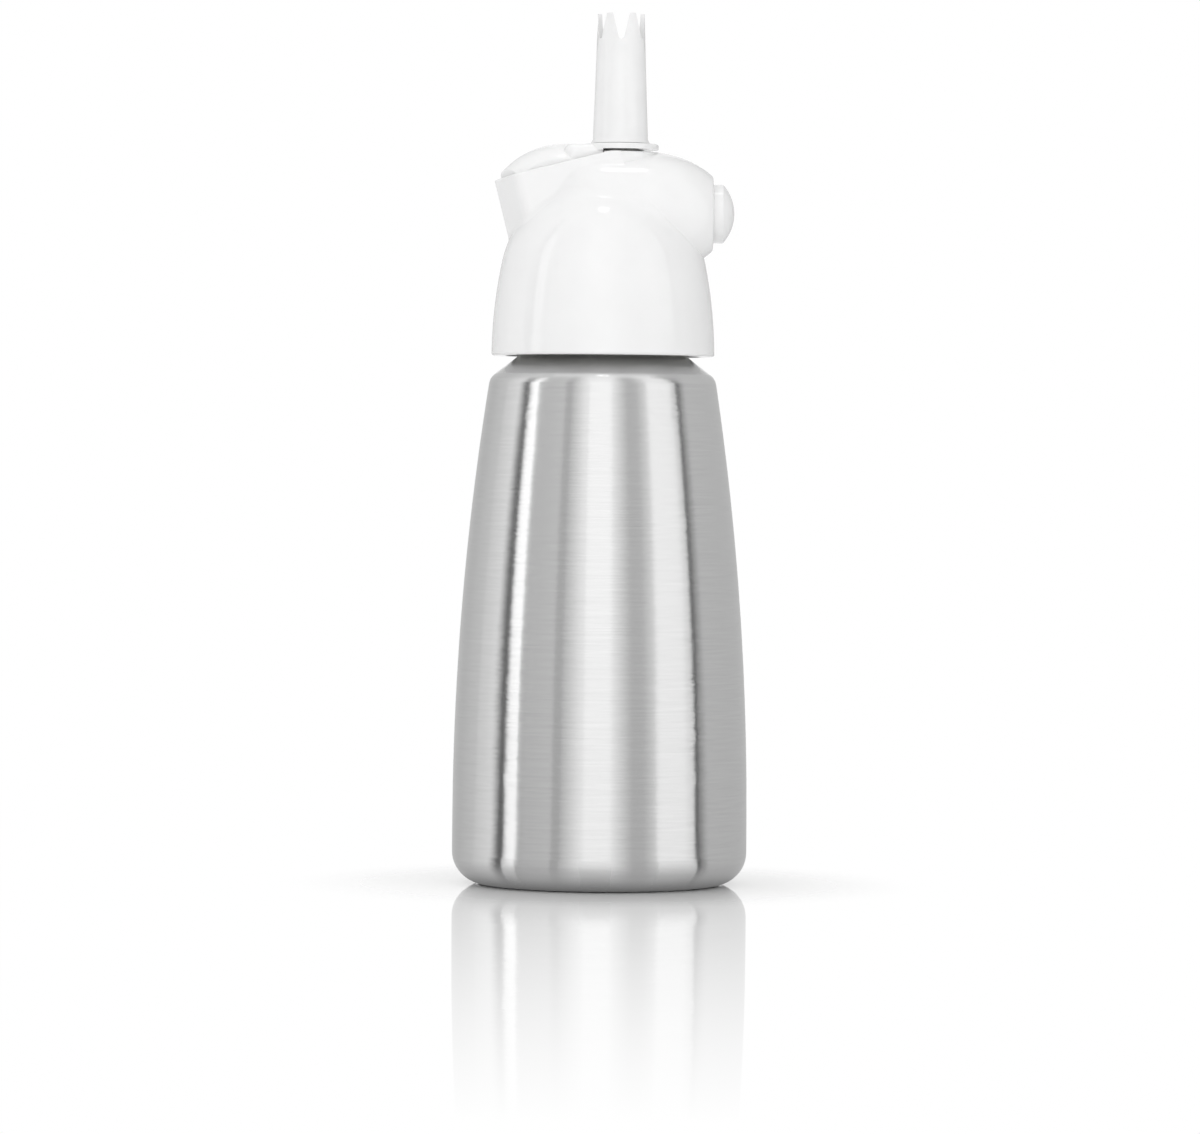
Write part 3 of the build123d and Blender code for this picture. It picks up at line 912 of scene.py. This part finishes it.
@dataclass
class Vent(SubAssembly):
    """The pressure release behind the domed button. Sizes are in millimetres.

    Attributes:
        height: height of the vent's axis
        spring_start: place of the spring's inner end along X
        spring_end: place of its outer end along X
        spring_wire: diameter of its wire
        spring_radius: radius of the wire's middle line
        spring_turns: number of its turns
        spring_closed_turns: turns that lie close at each of its ends
        press: travel of the button, not used here
    """

    height: float = 164.7
    spring_start: float = 22.45
    spring_end: float = 27.75
    spring_wire: float = 0.7
    spring_radius: float = 4.2
    spring_turns: float = 3.4
    spring_closed_turns: float = 0.7
    press: float = 1.5

    def build(self, nodes: dict[str, bpy.types.Object]) -> None:
        """Dress the vent's solids and wind its spring.

        Args:
            nodes: the solids by name
        """
        on_axis = (0.0, 0.0, self.height)
        # Turned brass: left bare, so it is yellow with tight bright rings.
        brass = turned("turned_brass", "#E2C78E", "#D3B677", Along.X, on_axis)
        # Ground steel: bright and even, as the lever's pin.
        steel = turned("ground_vent_steel", "#D6D6D8", "#C9C9CC", Along.X, on_axis)
        dress(nodes, WHITE_POLYPROPYLENE, ["vent_button"])
        dress(nodes, brass, ["vent_bush"])
        dress(nodes, steel, ["vent_stem"])
        dress(nodes, SILICONE, ["vent_bush_seal", "vent_seal"])
        length = self.spring_end - self.spring_start
        spring = Spring(
            axis=Along.X,
            start=(self.spring_start, 0.0, self.height),
            radius=self.spring_radius,
            wire=self.spring_wire,
            length=length,
            turns=self.spring_turns,
            closed_turns=self.spring_closed_turns,
        )
        # Drawn spring wire: as the valve's spring.
        wire = turned("drawn_vent_wire", "#D0D0D3", "#C2C2C6", Along.X, on_axis)
        coil = fit(spring.build("vent_spring_coil"), wire, "head")
        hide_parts("vent_spring")
        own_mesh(coil)


@dataclass(frozen=True)
class Card:
    """A curved grey card that lies along the floor, stands up round the object and shows in what shines.

    Attributes:
        start: azimuth of its left edge in degrees, 0 towards the camera and 90 towards +X
        end: azimuth of its right edge
        greys: its brightness at those edges, where 1 is white
        flag: whether it only stands, and in the light of what doesn't shine instead
    """

    start: float
    end: float
    greys: tuple[float, float]
    flag: bool = False


@dataclass(frozen=True)
class Softbox:
    """A soft lamp that faces the object.

    Attributes:
        azimuth: its azimuth in degrees, 0 towards the camera and 90 towards +X
        elevation: its height over the horizon, in degrees
        distance: its distance in metres
        width: its width in metres
        height: its height in metres
        radiance: its brightness, where 1 is white
        shines: whether it shows in what shines
    """

    azimuth: float
    elevation: float
    distance: float
    width: float
    height: float
    radiance: float
    shines: bool = True


def round_about(azimuth: float, reach: float, height: float) -> Vector:
    """Give the point at an azimuth and a distance from the object's axis.

    Args:
        azimuth: degrees, 0 towards the camera and 90 towards +X
        reach: distance from the axis in metres
        height: height in metres

    Returns:
        The point.
    """
    angle = math.radians(azimuth)
    return Vector((reach * math.sin(angle), -reach * math.cos(angle), height))


@dataclass
class Studio:
    """Pale floor and wall, soft lamps, grey cards and the camera. Sizes are in metres.

    Attributes:
        wall_radius: distance of the wall
        cove_radius: radius of the curve between floor and wall
        wall_height: height of the wall
        sweep_sides: faces round the floor and wall
        cove_steps: faces up the curve between them
        flat_radius: reach up to which the floor shades as flat
        paper: colour of the paper, sRGB hex
        paper_second: colour of its fibres, sRGB hex
        fibre_mm: size of those fibres, in millimetres
        clear_floor: reach of the floor that only shows its own light and shade
        white_floor: reach from which the floor is plain white
        floor_ior: index of refraction of the floor's polish
        gloss_end: reach at which the polish has faded out
        aim_height: height that the lamps face
        world_grey: brightness of the air as a light, where 1 is white
        base_radius: radius of the bottle's foot, where the cards begin
        card_radius: distance at which the cards stand
        card_step: degrees between a card's columns, roughly
        floor_rows: distance from the foot and share of the grey, for the lying part of a card
        wall_rows: height and share of the grey, for the standing part
        cards: the cards
        ring_rows: reach, grey and opacity of the painted shade round the foot
        ring_sides: faces round that shade
        ring_lift: height of that shade over the cards' lowest edge
        lamps: the lamps
        camera_distance: distance of the camera from the axis
        camera_height: its height
        camera_side: its place along X
        lens: its focal length in millimetres
        sensor: width of its sensor in millimetres
        sight: farthest that it sees
        tilt: degrees that it looks down
        roll: degrees that it is rolled
    """

    wall_radius: float = 4.0
    cove_radius: float = 1.0
    wall_height: float = 3.0
    sweep_sides: int = 96
    cove_steps: int = 12
    flat_radius: float = 1.0
    paper: str = "#F8F8F8"
    paper_second: str = "#FCFCFC"
    fibre_mm: float = 1.5
    clear_floor: float = 0.036
    white_floor: float = 0.08
    floor_ior: float = 1.5
    gloss_end: float = 0.5
    aim_height: float = 0.11
    world_grey: float = 0.92
    base_radius: float = 0.031
    card_radius: float = 0.9
    card_step: float = 4.0
    floor_rows: tuple[tuple[float, float], ...] = ((0.0, 0.8), (0.03, 0.92), (0.4, 0.97))
    wall_rows: tuple[tuple[float, float], ...] = ((0.0002, 0.98), (0.15, 0.98), (0.4, 1.07), (1.6, 1.1))
    cards: tuple[Card, ...] = (
        Card(-170, -140, (0.57, 0.56)),
        Card(-140, -112, (0.56, 0.69)),
        Card(-112, -92, (0.74, 0.9)),
        Card(-92, -84, (0.9, 0.14)),
        Card(-84, -78, (0.08, 0.08)),
        Card(-66, -60, (0.46, 0.54)),
        Card(-60, -37, (0.58, 0.65)),
        Card(-37, -30, (0.47, 0.49)),
        Card(-30, -15, (0.6, 1.05)),
        Card(9, 24, (1.05, 0.56)),
        Card(24, 35, (0.54, 0.54)),
        Card(35, 44, (0.58, 0.8)),
        Card(78, 82, (0.08, 0.08)),
        Card(82, 92, (0.24, 0.64)),
        Card(92, 170, (0.59, 0.54)),
        Card(82, 175, (0.25, 0.25), flag=True),
    )
    # Greys of the painted shade round the foot, a dark sheet that only the bottle's shine shows.
    ring_rows: tuple[tuple[float, float, float], ...] = (
        (0.029, 0.1, 1.0),
        (0.0325, 0.26, 1.0),
        (0.036, 0.42, 0.8),
        (0.05, 0.55, 0.0),
    )
    ring_sides: int = 48
    ring_lift: float = 0.0001
    lamps: tuple[Softbox, ...] = (
        Softbox(azimuth=-71.7, elevation=8, distance=1.0, width=0.19, height=1.4, radiance=0.55),
        Softbox(azimuth=-2, elevation=14, distance=1.3, width=0.5, height=1.2, radiance=0.26),
        Softbox(azimuth=59, elevation=8, distance=1.1, width=0.5, height=1.3, radiance=0.15),
        Softbox(azimuth=-1, elevation=86, distance=1.3, width=0.16, height=0.16, radiance=4.5),
        Softbox(azimuth=-45, elevation=25, distance=1.4, width=1.0, height=1.0, radiance=0.5, shines=False),
        Softbox(azimuth=42, elevation=15, distance=1.4, width=0.9, height=0.9, radiance=1.1, shines=False),
    )
    camera_distance: float = 1.38
    camera_height: float = 0.104
    camera_side: float = -0.00031
    lens: float = 168.5
    sensor: float = 36.0
    sight: float = 20.0
    tilt: float = 1.085
    roll: float = 0.435

    def build(self) -> None:
        """Make the floor, lights, cards and camera."""
        self.make_sweep()
        self.make_world()
        for number, lamp in enumerate(self.lamps):
            self.make_lamp(f"softbox_{number}", lamp)
        for number, card in enumerate(self.cards):
            self.make_card(f"card_{number}", card)
        self.make_painted_shade_ring()
        self.make_camera()
        bpy.context.scene.view_settings.view_transform = "Standard"

    def make_sweep(self) -> None:
        """Make the pale floor that curves up into a round wall."""
        profile = [(self.gloss_end, 0.0), (self.flat_radius, 0.0)]
        bend = self.wall_radius - self.cove_radius
        for step in range(self.cove_steps + 1):
            angle = math.pi / 2 * step / self.cove_steps
            reach = bend + self.cove_radius * math.sin(angle)
            profile.append((reach, self.cove_radius * (1 - math.cos(angle))))
        profile.append((self.wall_radius, self.wall_height))
        sides = self.sweep_sides
        points = [Vector((0.0, 0.0, 0.0))]
        for reach, height in profile:
            points += [round_about(360 * side / sides, reach, height) for side in range(sides)]
        faces = [[0, 1 + side, 1 + (side + 1) % sides] for side in range(sides)]
        for ring in range(len(profile) - 1):
            for side in range(sides):
                beside = (side + 1) % sides
                low = 1 + ring * sides
                high = low + sides
                faces.append([low + side, high + side, high + beside, low + beside])
        sweep = mesh_piece("floor_sweep", points, faces, smooth_angle=60.0)
        sweep.data.materials.append(self.sweep_material())

    def sweep_material(self) -> bpy.types.Material:
        """Give polished white paper that keeps the shadow near the object and is white further off.

        Its polish is a clear mirror that shows at a glancing look and fades with the distance.

        Returns:
            The material.
        """
        made = empty_material("white_paper_sweep")
        tree = made.node_tree
        spot = add_node(tree, "ShaderNodeTexCoord").outputs["Object"]
        reach = add_node(tree, "ShaderNodeVectorMath", {"operation": "LENGTH"}, {0: spot}).outputs["Value"]
        settings = {"interpolation_type": "SMOOTHSTEP"}
        inputs = {"Value": reach, "From Min": self.clear_floor, "From Max": self.white_floor}
        far = add_node(tree, "ShaderNodeMapRange", settings, inputs).outputs["Result"]
        settings = {"operation": "MULTIPLY"}
        share = add_node(tree, "ShaderNodeMath", settings, {0: self.seen(tree), 1: far}).outputs[0]
        inputs = {"Vector": spot, "Scale": per_metre(self.fibre_mm), "Detail": GRAIN_DETAIL}
        fibre = add_node(tree, "ShaderNodeTexNoise", inputs=inputs).outputs["Fac"]
        tone = add_node(tree, "ShaderNodeValToRGB", inputs={"Fac": fibre})
        tone.color_ramp.elements[0].color = linear(self.paper)
        tone.color_ramp.elements[1].color = linear(self.paper_second)
        paper = add_node(tree, "ShaderNodeBsdfDiffuse", inputs={"Color": tone.outputs[0]})
        glow = add_node(tree, "ShaderNodeEmission", inputs={"Color": linear("#FFFFFF"), "Strength": 1.0})
        inputs = {0: share, 1: paper.outputs[0], 2: glow.outputs[0]}
        mixed = add_node(tree, "ShaderNodeMixShader", inputs=inputs)
        inputs = {"Value": reach, "From Max": self.gloss_end, "To Min": 1.0, "To Max": 0.0}
        near = add_node(tree, "ShaderNodeMapRange", inputs=inputs).outputs["Result"]
        skim = add_node(tree, "ShaderNodeFresnel", inputs={"IOR": self.floor_ior}).outputs[0]
        shine = add_node(tree, "ShaderNodeMath", {"operation": "MULTIPLY"}, {0: near, 1: skim}).outputs[0]
        coat = add_node(tree, "ShaderNodeBsdfGlossy", inputs={"Color": linear("#FFFFFF"), "Roughness": 0.0})
        inputs = {0: shine, 1: mixed.outputs[0], 2: coat.outputs[0]}
        polished = add_node(tree, "ShaderNodeMixShader", inputs=inputs)
        add_node(tree, "ShaderNodeOutputMaterial", inputs={"Surface": polished.outputs[0]})
        return made

    def seen(self, tree: bpy.types.NodeTree) -> bpy.types.NodeSocket:
        """Tell the rays that show the background, directly or in what shines, from those that only light.

        Args:
            tree: node tree of the background

        Returns:
            The output, 1 for a ray that shows the background.
        """
        path = add_node(tree, "ShaderNodeLightPath")
        shown: bpy.types.NodeSocket = path.outputs["Is Camera Ray"]
        for kind in ("Is Glossy Ray", "Is Transmission Ray"):
            settings = {"operation": "MAXIMUM"}
            shown = add_node(tree, "ShaderNodeMath", settings, {0: shown, 1: path.outputs[kind]}).outputs[0]
        return shown

    def make_world(self) -> None:
        """Make the air over the wall, which shows white and lights the object evenly."""
        world = bpy.data.worlds.new("studio_air")
        world.use_nodes = True
        tree = world.node_tree
        tree.nodes.clear()
        inputs = {"Value": self.seen(tree), "To Min": self.world_grey, "To Max": 1.0}
        strength = add_node(tree, "ShaderNodeMapRange", inputs=inputs).outputs["Result"]
        inputs = {"Color": linear("#FFFFFF"), "Strength": strength}
        air = add_node(tree, "ShaderNodeBackground", inputs=inputs)
        add_node(tree, "ShaderNodeOutputWorld", inputs={"Surface": air.outputs[0]})
        bpy.context.scene.world = world

    def make_lamp(self, name: str, lamp: Softbox) -> None:
        """Make a soft lamp that the camera doesn't see.

        Args:
            name: name of the lamp
            lamp: its place, size and brightness
        """
        light = bpy.data.lights.new(name, "AREA")
        light.shape = "RECTANGLE"
        light.size = lamp.width
        light.size_y = lamp.height
        # A flat lamp of one square metre gives a radiance of one at pi watts.
        light.energy = math.pi * lamp.width * lamp.height * lamp.radiance
        made = bpy.data.objects.new(name, light)
        lift = math.radians(lamp.elevation)
        aim = Vector((0.0, 0.0, self.aim_height))
        reach = lamp.distance * math.cos(lift)
        made.location = aim + round_about(lamp.azimuth, reach, lamp.distance * math.sin(lift))
        made.rotation_euler = (aim - made.location).to_track_quat("-Z", "Y").to_euler()
        made.visible_camera = False
        made.visible_glossy = lamp.shines
        bpy.context.scene.collection.objects.link(made)

    def make_card(self, name: str, card: Card) -> None:
        """Make a curved grey card that the camera doesn't see.

        Its lying part leaves the foot at half the azimuth, where the round side mirrors it to the camera.

        Args:
            name: name of the card
            card: its place and brightness
        """
        steps = max(2, round((card.end - card.start) / self.card_step))
        foot = self.wall_rows[0][0]
        columns: list[list[tuple[Vector, float, float]]] = []
        for step in range(steps + 1):
            share = step / steps
            azimuth = card.start + (card.end - card.start) * share
            grey = card.greys[0] + (card.greys[1] - card.greys[0]) * share
            column = []
            if not card.flag:
                near = round_about(azimuth / 2, self.base_radius, foot)
                far = round_about(azimuth, self.card_radius, foot)
                for reach, fade in self.floor_rows:
                    column.append((near.lerp(far, reach / self.card_radius), grey * fade, 1.0))
            for height, fade in self.wall_rows:
                column.append((round_about(azimuth, self.card_radius, height), grey * fade, 1.0))
            columns.append(column)
        made = self.paint_card(name, columns)
        made.visible_diffuse = card.flag
        made.visible_glossy = not card.flag

    def make_painted_shade_ring(self) -> None:
        """Make a dark sheet of painted shade on the floor round the base, seen only in what shines, which
        takes in the inner ends of the cards.
        """
        height = self.wall_rows[0][0] + self.ring_lift
        columns: list[list[tuple[Vector, float, float]]] = []
        for side in range(self.ring_sides + 1):
            azimuth = 360 * side / self.ring_sides
            column = []
            for reach, grey, cover in self.ring_rows:
                column.append((round_about(azimuth, reach, height), grey, cover))
            columns.append(column)
        # Painted shade: a dark sheet that only what shines sees, not the camera nor the diffuse light.
        made = self.paint_card("painted_shade_sheet", columns)
        made.visible_diffuse = False

    def paint_card(self, name: str, columns: list[list[tuple[Vector, float, float]]]) -> bpy.types.Object:
        """Make a card that the camera doesn't see and that throws no shadow.

        Args:
            name: name of the card
            columns: point, brightness and opacity of each corner, column by column

        Returns:
            The card.
        """
        rows = len(columns[0])
        corners = [corner for column in columns for corner in column]
        faces = []
        for column in range(len(columns) - 1):
            for row in range(rows - 1):
                low = column * rows + row
                faces.append([low, low + 1, low + rows + 1, low + rows])
        made = mesh_piece(name, [point for point, _, _ in corners], faces)
        paint = made.data.color_attributes.new("grey", "FLOAT_COLOR", "POINT")
        parts = [part for _, grey, cover in corners for part in (grey, grey, grey, cover)]
        paint.data.foreach_set("color", parts)
        made.data.materials.append(self.card_material())
        made.visible_camera = False
        made.visible_shadow = False
        return made

    def card_material(self) -> bpy.types.Material:
        """Give the glow of a card, whose grey and opacity each of its corners holds.

        The floor's coat is a perfect mirror, and what it shows passes through the cards.

        Returns:
            The material.
        """
        made = bpy.data.materials.get("grey_card")
        if made is None:
            made = empty_material("grey_card")
            tree = made.node_tree
            paint = add_node(tree, "ShaderNodeVertexColor", {"layer_name": "grey"})
            inputs = {"Color": paint.outputs["Color"], "Strength": 1.0}
            glow = add_node(tree, "ShaderNodeEmission", inputs=inputs)
            clear = add_node(tree, "ShaderNodeBsdfTransparent")
            mirrored = add_node(tree, "ShaderNodeLightPath").outputs["Is Singular Ray"]
            settings = {"operation": "SUBTRACT", "use_clamp": True}
            cover = add_node(tree, "ShaderNodeMath", settings, {0: paint.outputs["Alpha"], 1: mirrored})
            inputs = {0: cover.outputs[0], 1: clear.outputs[0], 2: glow.outputs[0]}
            passing = add_node(tree, "ShaderNodeMixShader", inputs=inputs)
            add_node(tree, "ShaderNodeOutputMaterial", inputs={"Surface": passing.outputs[0]})
        return made

    def make_camera(self) -> None:
        """Make the camera where the photographer's stood, looking slightly down and slightly rolled."""
        lens = bpy.data.cameras.new("camera")
        lens.lens = self.lens
        lens.sensor_width = self.sensor
        lens.sensor_fit = "HORIZONTAL"
        lens.clip_end = self.sight
        camera = bpy.data.objects.new("camera", lens)
        place = Matrix.Translation((self.camera_side, -self.camera_distance, self.camera_height))
        down = Matrix.Rotation(math.radians(90 - self.tilt), 4, "X")
        camera.matrix_world = place @ down @ Matrix.Rotation(math.radians(self.roll), 4, "Z")
        bpy.context.scene.collection.objects.link(camera)
        bpy.context.scene.camera = camera


def main() -> None:
    """Load the solids, dress them, make the other pieces and set the studio round them."""
    logging.basicConfig(level=logging.INFO, format="%(name)s: %(message)s")
    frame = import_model()
    for group in (Bottle(), Head(), Valve(), Charger(), Vent()):
        group.build(frame["nodes"])
    Studio().build()


if __name__ == "__main__":
    main()
